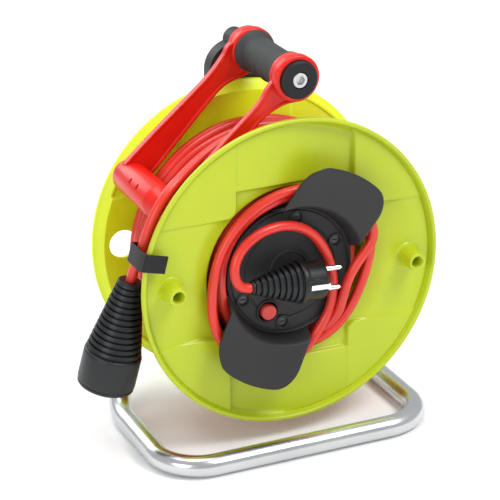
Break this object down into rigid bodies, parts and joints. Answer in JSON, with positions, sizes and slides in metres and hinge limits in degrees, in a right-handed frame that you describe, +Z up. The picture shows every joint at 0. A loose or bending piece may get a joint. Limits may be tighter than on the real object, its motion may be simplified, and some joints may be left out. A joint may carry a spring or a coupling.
{
  "type": "extension cord reel",
  "caption": "Hand-carried cable reel: a drum of extension cable on a steel floor frame with a side handle, a wound lead with plug and a free coupling.",
  "frame": {"origin": "centre of the footprint at floor level, midway between the frame's front and the back of the bracket, under the drum's axle", "axes": "+Z up, +Y from the plug side to the bracket side along the drum's axle, +X to the right seen from the plug side"},
  "size_m": [0.338, 0.214, 0.3634],
  "materials": {
    "lime_plastic": "satin moulded",
    "hub_plastic": "fine texture",
    "bracket_plastic": "fine texture",
    "red_plastic": "gloss moulded",
    "grip_rubber": "matt",
    "black_plastic": "satin",
    "bright_tube": "bright plated",
    "plated_steel": "zinc plated",
    "black_steel": "black zinc",
    "bush_plastic": "natural",
    "red_cable": "smooth sheath",
    "black_rubber": "matt moulded",
    "insert_plastic": "satin",
    "nickel": "nickel plated",
    "red_button": "translucent look, modelled solid"
  },
  "bodies": {
    "frame": {"rear_bracket": "bracket_plastic", "frame_tube": "bright_tube", "tube_screws": "plated_steel", "axle": "plated_steel", "axle_circlip": "plated_steel", "axle_washer": "plated_steel", "axle_nut_washer": "plated_steel", "axle_nut": "plated_steel", "handle_frame": "red_plastic", "grip_sleeve": "grip_rubber", "grip_core": "plated_steel", "grip_end_cap": "black_plastic", "grip_bolt": "plated_steel", "grip_nut": "plated_steel", "cable_tail": "red_cable", "coupling_body": "black_rubber", "coupling_insert": "insert_plastic", "coupling_contacts": "nickel"},
    "drum": {"front_flange": "lime_plastic", "rear_flange": "lime_plastic", "lead_hub": "hub_plastic", "thermal_cutout": "black_plastic", "terminal_block": "black_plastic", "drum_screws": "plated_steel", "button_spring": "plated_steel", "terminal_screws": "plated_steel", "lead_hub_screws": "black_steel", "front_bush": "bush_plastic", "rear_bush": "bush_plastic", "main_winding": "red_cable", "cable_inner_end": "red_cable", "lead_coil": "red_cable", "lead_loop": "red_cable", "lead_inner_end": "red_cable", "plug_body": "black_rubber", "lead_grommet": "black_rubber", "cable_grommet": "black_rubber", "plug_pins": "nickel", "plug_earth_clips": "nickel"},
    "reset_button": {"reset_button": "red_button"},
    "cable_clip": {"cable_clip": "black_plastic"}
  },
  "joints": [
    {"name": "drum_spin", "type": "hinge", "parent": "frame", "child": "drum", "pos_m": [0, 0, 0.1634], "axis": [0, 1, 0], "continuous": true},
    {"name": "reset_press", "type": "slide", "parent": "drum", "child": "reset_button", "axis": [0, 1, 0], "range_m": [0, 0.0025], "stiffness_N_per_m": 400, "deforming": ["button_spring"]},
    {"name": "clip_slide", "type": "slide", "parent": "frame", "child": "cable_clip", "axis": [-0.969, 0, 0.247], "range_m": [0, 0.025]}
  ]
}
